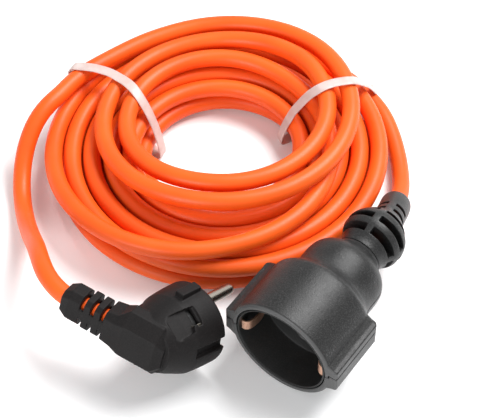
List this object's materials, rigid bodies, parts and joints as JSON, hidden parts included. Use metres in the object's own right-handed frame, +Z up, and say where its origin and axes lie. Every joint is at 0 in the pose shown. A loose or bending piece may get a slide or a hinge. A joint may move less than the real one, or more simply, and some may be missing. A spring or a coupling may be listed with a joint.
{
  "type": "extension cord",
  "caption": "Coiled round-cable extension cord, tied with nylon bands, with an angled earthed plug and a coupling socket on its ends.",
  "frame": {"origin": "on the floor under the middle of the socket and the two ties", "axes": "+Z up from the floor, +Y from the socket over the coil to its far side, +X to the side where the cable leaves the socket"},
  "size_m": [0.1745, 0.2014, 0.047],
  "materials": {
    "jacket": "satin orange flexible PVC",
    "tie_nylon": "milky translucent nylon",
    "socket_rubber": "fine matt grain, black",
    "insert_plastic": "matt black",
    "brass": "bare stamped brass",
    "tinned_metal": "tinned",
    "pin_nickel": "nickel plated",
    "plug_rubber": "smooth matt, black",
    "core_brown": "smooth",
    "core_blue": "smooth",
    "core_earth": "green with a yellow stripe"
  },
  "bodies": {
    "root": {"cable_coil": "jacket", "cable_socket_lead": "jacket", "cable_plug_lead": "jacket", "tie_left": "tie_nylon", "tie_right": "tie_nylon", "socket_shell_upper": "socket_rubber", "socket_shell_lower": "socket_rubber", "socket_bend_relief": "socket_rubber", "socket_cup": "insert_plastic", "plug_pin_carrier": "insert_plastic", "socket_contact_upper": "brass", "socket_contact_lower": "brass", "socket_earth_strap": "brass", "socket_crimp_upper": "tinned_metal", "socket_crimp_lower": "tinned_metal", "plug_crimp_upper": "tinned_metal", "plug_crimp_lower": "tinned_metal", "plug_earth_strap": "tinned_metal", "plug_pin_upper": "pin_nickel", "plug_pin_lower": "pin_nickel", "plug_overmould": "plug_rubber", "socket_core_brown": "core_brown", "plug_core_brown": "core_brown", "socket_core_blue": "core_blue", "plug_core_blue": "core_blue", "socket_core_earth": "core_earth", "plug_core_earth": "core_earth"}
  },
  "joints": []
}
